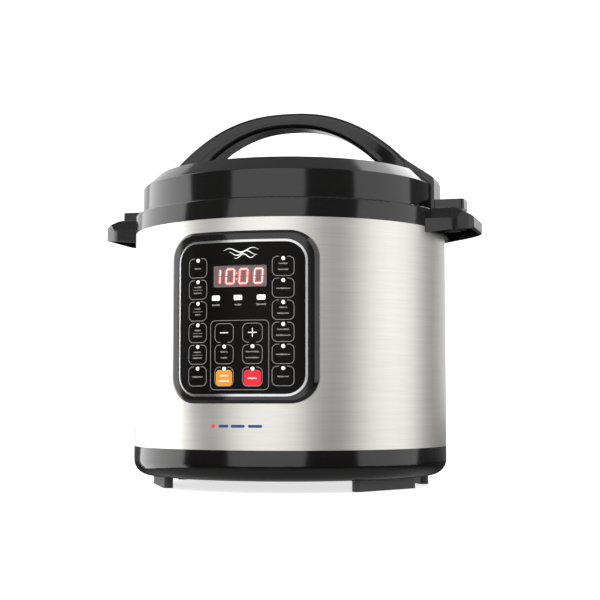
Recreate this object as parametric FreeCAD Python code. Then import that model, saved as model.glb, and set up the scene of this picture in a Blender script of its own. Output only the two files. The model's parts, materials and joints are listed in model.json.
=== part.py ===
import FreeCAD, Part
import os
from math import atan2, cos, degrees, pi, radians, sin, sqrt, tan

V = FreeCAD.Vector

# Electric pressure cooker, 6 litre class. Millimetres, +Z up, origin on the
# body's axis at the height of the surface it stands on. The control panel
# faces -Y, the side handles and the lid's carrying arch lie along X.

# ---- overall body
body_radius = 135.0          # brushed steel shell, outside
foot_height = 9.2
base_height = 24.4           # plastic base, from its underside to the shell
base_rounding = 13.0
base_wall = 2.6
shell_height = 181.6
shell_wall = 0.7
collar_height = 16.0
collar_overhang = 0.3        # the collar stands this far outside the shell
collar_shoulder = 1.6
collar_wall = 2.0
fit_gap = 0.2                # plain clearance between pieces that slide in

# ---- feet
foot_radius = 111.0          # from the axis to the middle of a foot
foot_length = 70.0
foot_width = 8.0
foot_angle = 60.0            # from the front, and again from the back
foot_peg_spacing = 44.0
foot_peg_radius = 2.0
foot_peg_height = 4.0

# ---- inner pot, its outer (locking) pot and the heater
pot_inner_radius = 110.0
pot_wall = 1.6
rim_above_shell = 8.8        # from the shell's top edge to the underside of the pot's rim
pot_rim_width = 7.0
pot_rounding = 14.0
pot_side_gap = 2.0           # between the pot and the locking pot
lock_wall = 1.2
lock_bottom = 50.0           # height of the locking pot's underside
rim_lift = 0.5               # the pot's rim stays this far above the locking pot
plate_radius = 88.0
plate_thickness = 10.0
plate_leg = 4.8
sensor_radius = 10.8
sensor_gap = 0.5
sensor_travel = 3.0
chassis_thickness = 1.2

# ---- bayonet lock between locking pot and lid
tooth_count = 6
tooth_half_angle = 13.0
tooth_reach = 7.6
tooth_thickness = 1.2
lid_tooth_thickness = 1.8
lid_tooth_reach = 7.3
bayonet_gap = 1.4
skirt_gap = 1.2

# ---- lid
lid_inset = 6.0              # lid radius is the body radius less this
lid_gap = 0.6                # between the collar's top and the lid's edge
lid_wall_height = 22.5
lid_cone_height = 11.5
lid_cone_inset = 12.5
lid_crown_height = 10.2
lid_wall = 2.5
lid_edge_rounding = 1.1
lid_steel = 1.2
ring_height = 9.4            # silicone sealing ring
ring_gap = 0.2
ring_width = 13.5
dome_rise = 10.0
dome_inset = 20.0            # inside the steel lid's skirt
lid_boss_inset = 34.8

# ---- lid handle: an arch over the lid along X
arch_rise = 47.0             # highest point above the lid's crown
arch_thickness = 12.8
arch_half_width = 16.0
arch_root_inset = 23.5       # the arch's curve ends this far inside the lid's wall
arch_drop = 45.5
arch_power = 2.35
under_root_inset = 48.6
under_drop = 34.8
under_power = 2.3
grip_thickness = 4.6
grip_inset = 0.7
grip_rounding = 3.4
arch_rounding = 4.2
band_half_width = 14.0
band_proud = 2.0
lug_reach = 26.5             # beyond the lid's wall
lug_half_width = 12.0
lug_lift = 1.5               # lug underside above the lid's lower edge
lug_height = 8.2

# ---- side handles
grip_reach = 30.7            # beyond the collar
grip_root_half = 43.0
grip_end_half = 25.0
grip_corner = 11.0
grip_top_gap = 1.3           # below the lid's lug
grip_root_height = 22.4
grip_end_top_drop = 7.3
grip_end_height = 10.1
grip_shoulder = 15.0         # level part of the top, beyond the collar
grip_wall = 2.6
grip_level_half = 29.0       # the level top ends here, towards the front and back
grip_root_drop = 10.0        # and falls by this to the corners at the root

# ---- control panel, as arc lengths on the panel's face and heights
panel_proud = 5.0
face_proud = 4.0
panel_half = 63.0
panel_low = 69.8
panel_high = 204.2
panel_corner = 21.0
panel_chamfer = 2.6
rim_half = 55.0              # bright rim line
rim_low = 75.2
rim_high = 197.0
rim_corner = 16.5
rim_width = 1.9
face_thickness = 2.6
window_half = 22.3
window_low = 160.0
window_high = 177.5
side_key_s = 35.5
side_key_width = 17.8
side_key_height = 15.9
side_key_pitch = 17.0
side_key_rows = 6
side_key_top = 175.9
mid_key_s = 11.6
mid_key_width = 16.5
mid_key_height = 15.5
mid_key_rows = [124.4, 107.8, 90.5]
key_corner = 4.3
key_gap = 0.25
key_proud = 0.3
key_travel = 0.5
key_flange = 1.2
light_offset = 6.1
light_radius = 1.4
light_notch = 1.8
bar_positions = [-18.9, -0.2, 18.4]
bar_width = 6.7
bar_height = 3.8
bar_level = 151.8
board_thickness = 1.6
board_half = 50.0
switch_size = 6.0
switch_height = 3.5

# ---- back of the body
inlet_height = 60.0
inlet_width = 32.0
inlet_tall = 26.0
inlet_back_wall = 1.6
inlet_flange = 3.5
inlet_face = 3.0
socket_width = 24.6
socket_tall = 16.8
socket_depth = 17.0
pin_length = 12.0
pin_tail = 3.0
cup_width = 56.0
cup_depth = 24.0
cup_height = 58.0
cup_wall = 1.8
cup_drop = 7.2               # from the shell's top edge to the cup's
cup_ledge = 4.0

# ---- valves on the lid
valve_inset = 42.8           # from the edge of the steel lid's dome
float_side = 30.0
stem_radius = 4.0
stem_bore = 1.6
knob_radius = 12.5
knob_height = 15.0
well_radius = 15.0
float_radius = 2.5
float_travel = 4.0
screw_radius = 1.5
head_radius = 3.2
head_height = 2.0

# ---- levels and radii that follow from the sizes above
base_bottom = foot_height
shell_bottom = base_bottom + base_height
shell_top = shell_bottom + shell_height
collar_top = shell_top + collar_height
collar_radius = body_radius + collar_overhang
shell_inside = body_radius - shell_wall
lid_radius = body_radius - lid_inset
lid_low = collar_top + lid_gap
lid_edge = lid_low + lid_wall_height
cone_radius = lid_radius - lid_cone_inset
cone_top = lid_edge + lid_cone_height
crown_top = cone_top + lid_crown_height
plate_top = lock_bottom + lock_wall + plate_leg + plate_thickness
rim_under = shell_top + rim_above_shell
rim_top = rim_under + pot_wall
lock_top = rim_under - rim_lift
pot_radius = pot_inner_radius + pot_wall
lock_inside = pot_radius + pot_side_gap
lock_radius = lock_inside + lock_wall
tooth_radius = lock_radius + tooth_reach
skirt_inside = tooth_radius + skirt_gap
skirt_radius = skirt_inside + lid_steel
channel_radius = skirt_radius + skirt_gap
tooth_under = lock_top - tooth_thickness
lid_tooth_top = tooth_under - bayonet_gap
lid_tooth_low = lid_tooth_top - lid_tooth_thickness
channel_floor = lid_tooth_low - bayonet_gap
ring_low = rim_top + ring_gap
ring_top = ring_low + ring_height
steel_under = ring_top + ring_gap
steel_top = steel_under + lid_steel
dome_top = steel_top + dome_rise
chassis_low = lock_bottom - chassis_thickness
cup_top = shell_top - cup_drop
arch_half_span = lid_radius - arch_root_inset
under_half_span = lid_radius - under_root_inset
dome_radius = skirt_radius - dome_inset
lid_boss_radius = dome_radius - lid_boss_inset
valve_back = dome_radius - valve_inset
face_radius = body_radius + face_proud
bezel_radius = body_radius + panel_proud
face_back = face_radius - face_thickness
board_front = lock_radius + 4.8
arch_top = crown_top + arch_rise

os.makedirs("parts", exist_ok=True)


# ---- helpers
def corner_wire(corners, place):
    """Closed wire through (u, v, radius) corners, each rounded to its radius."""
    count = len(corners)
    edges = []
    starts = []
    for i in range(count):
        u, v, radius = corners[i]
        pu, pv, _ = corners[i - 1]
        nu, nv, _ = corners[(i + 1) % count]
        au, av = pu - u, pv - v
        bu, bv = nu - u, nv - v
        la, lb = sqrt(au * au + av * av), sqrt(bu * bu + bv * bv)
        au, av, bu, bv = au / la, av / la, bu / lb, bv / lb
        if radius <= 0:
            starts.append(((u, v), None, (u, v)))
            continue
        half = 0.5 * atan2(abs(au * bv - av * bu), au * bu + av * bv)
        run = radius / tan(half)
        mu, mv = au + bu, av + bv
        lm = sqrt(mu * mu + mv * mv)
        reach = radius / sin(half) - radius
        middle = (u + mu / lm * reach, v + mv / lm * reach)
        starts.append(((u + au * run, v + av * run), middle, (u + bu * run, v + bv * run)))
    for i in range(count):
        first, middle, last = starts[i]
        if middle is not None:
            edges.append(Part.Arc(place(*first), place(*middle), place(*last)).toShape())
        after = starts[(i + 1) % count][0]
        a, b = place(*last), place(*after)
        if a.distanceToPoint(b) > 1e-6:
            edges.append(Part.LineSegment(a, b).toShape())
    return Part.Wire(edges)


def turned(corners):
    """Solid of revolution about Z from (radius, height, rounding) corners."""
    face = Part.Face(corner_wire(corners, lambda r, z: V(r, 0, z)))
    return face.revolve(V(0, 0, 0), V(0, 0, 1), 360)


def disc(radius, low, high, x=0.0, y=0.0):
    return Part.makeCylinder(radius, high - low, V(x, y, low))


def pipe(outer, inner, low, high, x=0.0, y=0.0):
    return disc(outer, low, high, x, y).cut(disc(inner, low - 1, high + 1, x, y))


def block(x0, x1, y0, y1, z0, z1):
    return Part.makeBox(x1 - x0, y1 - y0, z1 - z0, V(x0, y0, z0))


def rod(radius, start, end):
    """Cylinder from one point to another."""
    along = end - start
    return Part.makeCylinder(radius, along.Length, start, along)


def plan_prism(corners, low, high):
    """Prism that stands on a plan outline of (x, y, rounding) corners."""
    face = Part.Face(corner_wire(corners, lambda x, y: V(x, y, low)))
    return face.extrude(V(0, 0, high - low))


def end_prism(corners, start, end):
    """Prism along X on an end outline of (y, z, rounding) corners."""
    face = Part.Face(corner_wire(corners, lambda y, z: V(start, y, z)))
    return face.extrude(V(end - start, 0, 0))


def side_prism(corners, half_width):
    """Prism along Y on a side outline of (x, z, rounding) corners."""
    face = Part.Face(corner_wire(corners, lambda x, z: V(x, -half_width, z)))
    return face.extrude(V(0, 2 * half_width, 0))


def outward(s, reach=None):
    """Unit vector straight out of the panel at arc length s on its face."""
    angle = s / face_radius
    return V(sin(angle), -cos(angle), 0)


def panel_prism(s, z, half_w, half_h, rounding, inner, outer):
    """Prism square to the panel at (s, z), between two radii."""
    normal = outward(s)
    across = V(-normal.y, normal.x, 0)
    origin = normal * inner + V(0, 0, z)
    corners = [(-half_w, -half_h, rounding), (half_w, -half_h, rounding),
               (half_w, half_h, rounding), (-half_w, half_h, rounding)]
    wire = corner_wire(corners, lambda u, v: origin + across * u + V(0, 0, v))
    return Part.Face(wire).extrude(normal * (outer - inner))


def front_prism(half_x, low, high, rounding):
    """Prism along Y through the front of the body."""
    corners = [(-half_x, low, rounding), (half_x, low, rounding),
               (half_x, high, rounding), (-half_x, high, rounding)]
    face = Part.Face(corner_wire(corners, lambda x, z: V(x, -body_radius - 30, z)))
    return face.extrude(V(0, 60, 0))


def skin(inner, outer, low, high):
    """Front half of a cylindrical shell between two radii."""
    ring = pipe(outer, inner, low, high)
    return ring.common(block(-outer - 1, outer + 1, -outer - 1, 0, low - 1, high + 1))


def chord(arc, radius):
    """Half-width seen from the front of an arc length on a radius."""
    return radius * sin(arc / radius)


def sector(inner, outer, low, high, middle, half):
    """Piece of a flat ring around an angle measured from +X."""
    ring = pipe(outer, inner, low, high)
    reach = outer * 2
    a, b = radians(middle - half), radians(middle + half)
    wedge = Part.Face(Part.makePolygon([
        V(0, 0, low - 1), V(reach * cos(a), reach * sin(a), low - 1),
        V(reach * cos(b), reach * sin(b), low - 1), V(0, 0, low - 1)]))
    return ring.common(wedge.extrude(V(0, 0, high - low + 2)))


def fused(shapes):
    first = shapes[0]
    if len(shapes) == 1:
        return first
    return first.multiFuse(shapes[1:]).removeSplitter()


def group(shapes):
    return Part.makeCompound(shapes)


def save(name, shape):
    shape.exportStep("parts/" + name + ".step")


def at_angle(radius, angle, z=0.0):
    """Point at an angle from the front (-Y), turning towards +X."""
    return V(radius * sin(radians(angle)), -radius * cos(radians(angle)), z)


# ---- base, feet, chassis and their screws
boss_radius = 96.0
boss_angles = [45, 135, 225, 315]
boss_size = 5.0
boss_sink = 4.0
base_inside = shell_inside - fit_gap
base_tray = turned([
    (0, base_bottom, 0), (body_radius, base_bottom, base_rounding),
    (body_radius, shell_bottom, 0), (base_inside, shell_bottom, 0),
    (base_inside, shell_bottom + 5, 0), (base_inside - base_wall, shell_bottom + 5, 0),
    (base_inside - base_wall, base_bottom + base_wall, base_rounding - base_wall),
    (0, base_bottom + base_wall, 0)])
floor_top = base_bottom + base_wall
bosses = []
boss_cuts = []
screws = []
for angle in boss_angles:
    p = at_angle(boss_radius, angle)
    bosses.append(disc(boss_size, base_bottom, chassis_low, p.x, p.y))
    boss_cuts.append(disc(head_radius + 0.4, base_bottom - 1, base_bottom + boss_sink, p.x, p.y))
    boss_cuts.append(disc(screw_radius + fit_gap, base_bottom, chassis_low + 1, p.x, p.y))
    seat = base_bottom + boss_sink
    screw = disc(head_radius, seat - head_height, seat, p.x, p.y)
    screw = screw.fuse(disc(screw_radius, seat, lock_bottom + lock_wall + 1.5, p.x, p.y))
    screws.append(screw)
base_tray = fused([base_tray] + bosses)

# feet: four straight bars, two pegs each pressed into the base's floor
feet = []
foot_angles = [foot_angle, 180 - foot_angle, 180 + foot_angle, 360 - foot_angle]
peg_cuts = []
for angle in foot_angles:
    centre = at_angle(foot_radius, angle)
    bar = plan_prism([
        (-foot_length / 2, -foot_width / 2, 3.4), (foot_length / 2, -foot_width / 2, 3.4),
        (foot_length / 2, foot_width / 2, 3.4), (-foot_length / 2, foot_width / 2, 3.4)],
        0, base_bottom)
    pegs = []
    for side in (-1, 1):
        pegs.append(disc(foot_peg_radius, base_bottom - 1, base_bottom + foot_peg_height,
                         side * foot_peg_spacing / 2, 0))
    foot = fused([bar] + pegs)
    foot.rotate(V(0, 0, 0), V(0, 0, 1), angle)
    foot.translate(centre)
    feet.append(foot)
    for side in (-1, 1):
        along = V(cos(radians(angle)), sin(radians(angle)), 0) * (side * foot_peg_spacing / 2)
        p = centre + along
        peg_cuts.append(disc(foot_peg_radius + 0.05, base_bottom - 1, floor_top + 3, p.x, p.y))

# cooling slots through the base's floor, two rings of them
slots = []
slot_count = 16
for ring_radius, length in ((40.0, 16.0), (66.0, 22.0)):
    for i in range(slot_count):
        angle = 360.0 / slot_count * (i + 0.5)
        slot = block(-1.6, 1.6, ring_radius - length / 2, ring_radius + length / 2,
                     base_bottom - 1, floor_top + 1)
        slot.rotate(V(0, 0, 0), V(0, 0, 1), angle)
        slots.append(slot)
base_tray = base_tray.cut(group(boss_cuts + peg_cuts))
base_tray = base_tray.cut(group(slots))
save("base_tray", base_tray)
save("feet", group(feet))

chassis = disc(lock_radius + 3, chassis_low, lock_bottom)
chassis = chassis.cut(disc(34, chassis_low - 1, lock_bottom + 1))
chassis_cuts = []
for angle in boss_angles:
    p = at_angle(boss_radius, angle)
    chassis_cuts.append(disc(screw_radius, chassis_low - 1, lock_bottom + 1, p.x, p.y))
chassis = chassis.cut(group(chassis_cuts))
save("chassis_plate", chassis)

# ---- locking pot: outer pot with the bayonet teeth on its rim
lock_pot = turned([
    (sensor_radius + sensor_gap + 3.5, lock_bottom, 0),
    (lock_radius, lock_bottom, pot_rounding), (lock_radius, lock_top, 0),
    (lock_inside, lock_top, 0),
    (lock_inside, lock_bottom + lock_wall, pot_rounding - lock_wall),
    (sensor_radius + sensor_gap + 3.5, lock_bottom + lock_wall, 0)])
bead_top = channel_floor - collar_wall
bead = pipe(lock_radius + 2.2, lock_radius - lock_wall / 2, bead_top - 1.8, bead_top)
teeth = []
for i in range(tooth_count):
    teeth.append(sector(lock_radius - lock_wall / 2, tooth_radius, tooth_under, lock_top,
                        i * 360.0 / tooth_count, tooth_half_angle))
lock_pot = fused([lock_pot, bead] + teeth)
lock_cuts = []
for angle in boss_angles:
    p = at_angle(boss_radius, angle)
    lock_cuts.append(disc(screw_radius + fit_gap, lock_bottom - 1, lock_bottom + 4, p.x, p.y))
terminal_radius = 70.0
terminal_angles = [160, 200]
for angle in terminal_angles:
    p = at_angle(terminal_radius, angle)
    lock_cuts.append(disc(4.5, lock_bottom - 1, lock_bottom + 4, p.x, p.y))
lock_pot = lock_pot.cut(group(lock_cuts))
save("lock_pot", lock_pot)

# ---- heating plate on three legs, with its terminals and the sensor in the middle
plate_low = plate_top - plate_thickness
heating_plate = turned([
    (sensor_radius + sensor_gap + 2.6, plate_low, 0), (plate_radius, plate_low, 2),
    (plate_radius, plate_top, 2), (sensor_radius + sensor_gap + 2.6, plate_top, 0)])
legs = []
for angle in (0, 120, 240):
    p = at_angle(plate_radius - 20, angle)
    legs.append(disc(5, lock_bottom + lock_wall, plate_low + 0.5, p.x, p.y))
heating_plate = fused([heating_plate] + legs)
save("heating_plate", heating_plate)

terminals = []
for angle in terminal_angles:
    p = at_angle(terminal_radius, angle)
    post = disc(3.2, chassis_low - 14, plate_low, p.x, p.y)
    tab = block(p.x - 3.1, p.x + 3.1, p.y - 0.4, p.y + 0.4, chassis_low - 22, chassis_low - 13)
    terminals.append(fused([post, tab]))
save("heater_terminals", group(terminals))
for angle in terminal_angles:
    p = at_angle(terminal_radius, angle)
    chassis = chassis.cut(disc(5.5, chassis_low - 1, lock_bottom + 1, p.x, p.y))
save("chassis_plate", chassis)

sleeve_inside = sensor_radius + sensor_gap
sleeve_top = plate_top - sensor_travel
sleeve = pipe(sleeve_inside + 1.2, sleeve_inside, lock_bottom - 6, sleeve_top - 3)
sleeve_base = disc(sleeve_inside + 1.2, lock_bottom - 7.5, lock_bottom - 6)
sensor_sleeve = fused([sleeve, sleeve_base])
save("sensor_sleeve", sensor_sleeve)
cap_low = plate_top - 8.0
sensor_cap = disc(sensor_radius, cap_low, plate_top)
sensor_cap = sensor_cap.cut(disc(sensor_radius - 1.2, cap_low - 1, plate_top - 1.5))
save("sensor_cap", sensor_cap)
spring_low = lock_bottom - 6
spring_turns = 5
spring_wire = 0.6
spring_radius = 7.0
spring_high = plate_top - 1.5
spring_length = spring_high - spring_low - 2 * spring_wire
spring_pitch = spring_length / spring_turns
turn_points = []
for i in range(spring_turns * 12 + 1):
    a = 2 * pi * i / 12
    turn_points.append(V(spring_radius * cos(a), spring_radius * sin(a),
                         spring_low + spring_wire + spring_pitch * i / 12))
coil = Part.BSplineCurve()
coil.interpolate(turn_points)
start_along = V(0, 2 * pi * spring_radius, spring_pitch).normalize()
section = Part.Wire(Part.Circle(turn_points[0], start_along, spring_wire).toShape())
spring = Part.Wire(coil.toShape()).makePipeShell([section], True, True)
save("sensor_spring", spring)

# ---- inner pot
inner_pot = turned([
    (0, plate_top, 0), (pot_radius, plate_top, pot_rounding), (pot_radius, rim_under, 1.2),
    (pot_radius + pot_rim_width, rim_under, 0), (pot_radius + pot_rim_width, rim_top, 0),
    (pot_inner_radius, rim_top, 1.6),
    (pot_inner_radius, plate_top + pot_wall, pot_rounding - pot_wall),
    (0, plate_top + pot_wall, 0)])
save("inner_pot", inner_pot)

# ---- steel shell
shell = pipe(body_radius, shell_inside, shell_bottom, shell_top)
opening_half = chord(panel_half, body_radius) - 10.0
opening = front_prism(opening_half, panel_low + 8.0, panel_high - 8.0, 8.0)
inlet_low = inlet_height - inlet_tall / 2
inlet_high = inlet_height + inlet_tall / 2
inlet_cut = block(-inlet_width / 2 - fit_gap, inlet_width / 2 + fit_gap,
                  body_radius - 12, body_radius + 12, inlet_low - fit_gap, inlet_high + fit_gap)
shell = shell.cut(opening).cut(inlet_cut)
save("steel_shell", shell)

# ---- collar ring with the drip channel that the lid's skirt runs in
collar = turned([
    (collar_radius, shell_top, 0), (collar_radius, collar_top, collar_shoulder),
    (channel_radius, collar_top, 1.5), (channel_radius, channel_floor, 0),
    (lock_radius + 0.6, channel_floor, 0), (lock_radius + 0.6, channel_floor - collar_wall, 0),
    (channel_radius + collar_wall, channel_floor - collar_wall, 0),
    (channel_radius + collar_wall, collar_top - collar_wall, 0),
    (collar_radius - collar_wall, collar_top - collar_wall, collar_shoulder - collar_wall),
    (collar_radius - collar_wall, shell_top, 0)])
cup_back = body_radius + 3.5
spout_y = cup_back + cup_wall + 3.4
spout_z = channel_floor + 2.3
spout = block(-6, 6, channel_radius + 1, spout_y + 3.8, channel_floor - 1.4, channel_floor + 6)
spout_bore = rod(2.1, V(0, channel_radius - 1, spout_z), V(0, spout_y, spout_z))
spout_drop = rod(2.1, V(0, spout_y, spout_z + 2.1), V(0, spout_y, channel_floor - 6))
collar = fused([collar, spout]).cut(fused([spout_bore, spout_drop]))
handle_screw_y = 25.0
handle_screw_z = shell_top + 0.42 * collar_height
screw_x = sqrt(collar_radius ** 2 - handle_screw_y ** 2)
inner_x = sqrt((collar_radius - collar_wall) ** 2 - (handle_screw_y - head_radius) ** 2)
for side in (-1, 1):
    for y in (-handle_screw_y, handle_screw_y):
        collar = collar.cut(rod(screw_radius + fit_gap, V(side * (inner_x - 3), y, handle_screw_z),
                                V(side * (screw_x + 3), y, handle_screw_z)))
save("collar_ring", collar)

# ---- side handles: open-bottomed hoods screwed to the collar
grip_top = lid_low + lug_lift - grip_top_gap
grip_end = collar_radius + grip_reach
root_x = sqrt(collar_radius ** 2 - grip_root_half ** 2) - 4
plan = [(root_x, -grip_root_half, 0), (grip_end - 14, -grip_root_half + 7, 16),
        (grip_end, -grip_end_half, grip_corner), (grip_end, grip_end_half, grip_corner),
        (grip_end - 14, grip_root_half - 7, 16), (root_x, grip_root_half, 0)]
low = grip_top - grip_root_height
profile = [(root_x - 1, low, 0), (grip_end, grip_top - grip_end_top_drop - grip_end_height, 3),
           (grip_end, grip_top - grip_end_top_drop, 3.5),
           (collar_radius + grip_shoulder, grip_top, 12), (root_x - 1, grip_top, 0)]
hood = plan_prism(plan, low - 5, grip_top + 5).common(side_prism(profile, grip_root_half + 10))
drop_z = grip_top - grip_root_drop
end_view = [(-grip_root_half - 2, low - 6, 0), (-grip_root_half - 2, drop_z - 0.6, 0),
            (-grip_level_half - 6, drop_z, 3), (-grip_level_half, grip_top + 0.5, 4),
            (grip_level_half, grip_top + 0.5, 4), (grip_level_half + 6, drop_z, 3),
            (grip_root_half + 2, drop_z - 0.6, 0), (grip_root_half + 2, low - 6, 0)]
hood = hood.common(end_prism(end_view, root_x - 2, grip_end + 2))
hood = hood.cut(disc(collar_radius, low - 20, grip_top + 20))
inner_plan = [(root_x, -grip_root_half + grip_wall, 0),
              (grip_end - 14 - grip_wall * 0.4, -grip_root_half + 7 + grip_wall, 14),
              (grip_end - grip_wall, -grip_end_half + 1.2, grip_corner - grip_wall),
              (grip_end - grip_wall, grip_end_half - 1.2, grip_corner - grip_wall),
              (grip_end - 14 - grip_wall * 0.4, grip_root_half - 7 - grip_wall, 14),
              (root_x, grip_root_half - grip_wall, 0)]
inner_profile = [(root_x - 1, low - 10, 0), (grip_end, low - 10, 0),
                 (grip_end, grip_top - grip_end_top_drop - grip_wall, 0),
                 (collar_radius + grip_shoulder - 0.5, grip_top - grip_wall, 8),
                 (root_x - 1, grip_top - grip_wall, 0)]
hollow = plan_prism(inner_plan, low - 10, grip_top).common(
    side_prism(inner_profile, grip_root_half + 10))
inner_z = drop_z - grip_wall
inner_view = [(-grip_root_half - 2, low - 12, 0), (-grip_root_half - 2, inner_z - 0.6, 0),
              (-grip_level_half - 4.6, inner_z, 3), (-grip_level_half + 1.4, grip_top, 4),
              (grip_level_half - 1.4, grip_top, 4), (grip_level_half + 4.6, inner_z, 3),
              (grip_root_half + 2, inner_z - 0.6, 0), (grip_root_half + 2, low - 12, 0)]
hollow = hollow.common(end_prism(inner_view, root_x - 2, grip_end + 2))
hollow = hollow.cut(disc(collar_radius + grip_wall, low - 20, grip_top + 20))
handle = hood.cut(hollow)
pillars = []
pillar_cuts = []
for y in (-handle_screw_y, handle_screw_y):
    pillars.append(rod(4.2, V(screw_x, y, handle_screw_z), V(screw_x + 14, y, handle_screw_z)))
    pillar_cuts.append(rod(screw_radius + 0.1, V(screw_x - 6, y, handle_screw_z),
                           V(screw_x + 12, y, handle_screw_z)))
pillar_set = fused(pillars).cut(disc(collar_radius + grip_wall / 2, low - 20, grip_top + 20))
handle = fused([handle, pillar_set.common(hood)]).cut(group(pillar_cuts))
handle_right = handle
handle_left = handle.mirror(V(0, 0, 0), V(1, 0, 0))
save("handle_right", handle_right)
save("handle_left", handle_left)
for side in (-1, 1):
    for y in (-handle_screw_y, handle_screw_y):
        head = rod(head_radius, V(side * (inner_x - head_height), y, handle_screw_z),
                   V(side * inner_x, y, handle_screw_z))
        head = head.common(disc(collar_radius - collar_wall, shell_top - 5, collar_top))
        shank = rod(screw_radius, V(side * (inner_x - 0.5), y, handle_screw_z),
                    V(side * (screw_x + 11), y, handle_screw_z))
        screws.append(head.fuse(shank))
save("case_screws", group(screws))

# ---- control panel
bezel_half = chord(panel_half, body_radius)
rim_outer = chord(rim_half, face_radius)
bezel = skin(body_radius, bezel_radius, panel_low - 1, panel_high + 1)
bezel = bezel.common(front_prism(bezel_half, panel_low, panel_high, panel_corner))
outer_edges = []
for edge in bezel.Edges:
    ends = [edge.valueAt(edge.FirstParameter), edge.valueAt(edge.LastParameter)]
    ends.append(edge.valueAt(0.5 * (edge.FirstParameter + edge.LastParameter)))
    if all(abs(sqrt(p.x ** 2 + p.y ** 2) - bezel_radius) < 0.01 for p in ends):
        outer_edges.append(edge)
bezel = bezel.makeChamfer(panel_chamfer, outer_edges)
bezel = bezel.cut(front_prism(rim_outer, rim_low, rim_high, rim_corner))
save("panel_bezel", bezel)

trim = skin(body_radius, face_radius + 0.5, panel_low, panel_high)
trim = trim.common(front_prism(rim_outer, rim_low, rim_high, rim_corner))
trim = trim.cut(front_prism(rim_outer - rim_width, rim_low + rim_width, rim_high - rim_width,
                            rim_corner - rim_width))
save("panel_trim", trim)

face = skin(face_back, face_radius, panel_low, panel_high)
face = face.common(front_prism(rim_outer - rim_width, rim_low + rim_width,
                               rim_high - rim_width, rim_corner - rim_width))

keys = []
for row in range(side_key_rows):
    z = side_key_top - row * side_key_pitch
    keys.append(("key_left_" + str(row + 1), -side_key_s, z, side_key_width, side_key_height, 1))
    keys.append(("key_right_" + str(row + 1), side_key_s, z, side_key_width, side_key_height, 1))
middle_names = [("key_minus", "key_plus"), ("key_delay", "key_pressure"), ("key_warm", "key_start")]
for row, names in enumerate(middle_names):
    for name, side in zip(names, (-1, 1)):
        lit = 0 if row == 0 else 1
        keys.append((name, side * mid_key_s, mid_key_rows[row], mid_key_width, mid_key_height, lit))

lights = []
switches = []
face_cuts = []
board_out = board_front + board_thickness
plunger_tip = board_out + switch_height + 1.5
stem_plane = plunger_tip + 1.4
for name, s, z, width, height, lit in keys:
    normal = outward(s)
    across = V(-normal.y, normal.x, 0)
    cap = panel_prism(s, z, width / 2, height / 2, key_corner, face_back - 8, face_radius + 8)
    cap = cap.common(skin(face_back - 0.2, face_radius + key_proud, z - height, z + height))
    flange = panel_prism(s, z, width / 2 + key_flange, height / 2, key_corner,
                         face_back - 8, face_radius + 8)
    flange = flange.common(skin(face_back - 1.2, face_back - 0.2, z - height, z + height))
    tip = normal * (stem_plane / -normal.y)
    stem = rod(1.6, V(tip.x, tip.y, z), normal * (face_back - 0.5) + V(0, 0, z))
    key = fused([cap, flange, stem])
    light_z = z + light_offset
    if lit:
        notch = panel_prism(s, light_z + 4 - light_notch / 2, light_notch, 4 + light_notch / 2,
                            light_notch * 0.9, face_back - 8, face_radius + 8)
        key = key.cut(notch)
        lights.append(rod(light_radius, normal * (board_out + 8) + V(0, 0, light_z),
                          normal * (face_radius + 0.1) + V(0, 0, light_z)))
    save(name, key)
    hole = panel_prism(s, z, width / 2 + key_gap, height / 2 + key_gap, key_corner + key_gap,
                       face_back - 8, face_radius + 8)
    face_cuts.append(hole)
    tx = tip.x
    body = block(tx - switch_size / 2, tx + switch_size / 2, -board_out - switch_height,
                 -board_out, z - switch_size / 2, z + switch_size / 2)
    plunger = rod(1.7, V(tx, -board_out - switch_height + 0.5, z), V(tx, -plunger_tip, z))
    switches.append(fused([body, plunger]))

window_mid = (window_low + window_high) / 2
window_cut = panel_prism(0.25, window_mid, window_half, (window_high - window_low) / 2, 1.2,
                         face_back - 8, face_radius + 8)
face_cuts.append(window_cut)
window = window_cut.common(skin(face_radius - 1.6, face_radius + 0.1, window_low - 2,
                                window_high + 2))
save("display_window", window)
for s in bar_positions:
    bar = panel_prism(s, bar_level, bar_width / 2, bar_height / 2, 0.8, face_back - 8,
                      face_radius + 8)
    face_cuts.append(bar)
    lights.append(bar.common(skin(face_back - 1, face_radius + 0.1, bar_level - 5, bar_level + 5)))
face = face.cut(group(face_cuts))
save("panel_face", face)
save("indicator_lights", group(lights))
save("tact_switches", group(switches))

board = block(-board_half, board_half, -board_out, -board_front, panel_low + 12, panel_high - 11)
save("control_board", board)
display_front = sqrt((face_radius - 1.8) ** 2 - window_half ** 2) - 0.4
display = block(-window_half + 0.4, window_half - 0.4, -display_front, -board_out,
                window_low + 0.5, window_high - 0.5)
save("display_module", display)

# ---- power board and what stands on it, pressure switch and fuse
power_x, power_y = -44.0, -18.0
power_z = floor_top + 5.0
power_board = block(power_x, power_x + 84, power_y, power_y + 62, power_z, power_z + board_thickness)
posts = []
for x in (power_x + 5, power_x + 79):
    for y in (power_y + 5, power_y + 57):
        posts.append(disc(3.2, floor_top - 0.5, power_z, x, y))
base_tray = fused([base_tray] + posts)
save("base_tray", base_tray)
save("power_board", power_board)
on_board = power_z + board_thickness
tall = chassis_low - 4 - on_board
components = [
    block(power_x + 6, power_x + 25, power_y + 10, power_y + 26, on_board, on_board + min(15.5, tall)),
    block(power_x + 6, power_x + 36, power_y + 34, power_y + 56, on_board, on_board + min(19, tall)),
    disc(5, on_board, on_board + min(18, tall), power_x + 42, power_y + 16),
    disc(5, on_board, on_board + min(18, tall), power_x + 54, power_y + 16),
    block(power_x + 46, power_x + 74, power_y + 44, power_y + 50, on_board, on_board + min(11, tall)),
    block(power_x + 64, power_x + 77, power_y + 12, power_y + 36, on_board, on_board + min(14, tall))]
save("power_board_parts", group(components))
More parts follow.
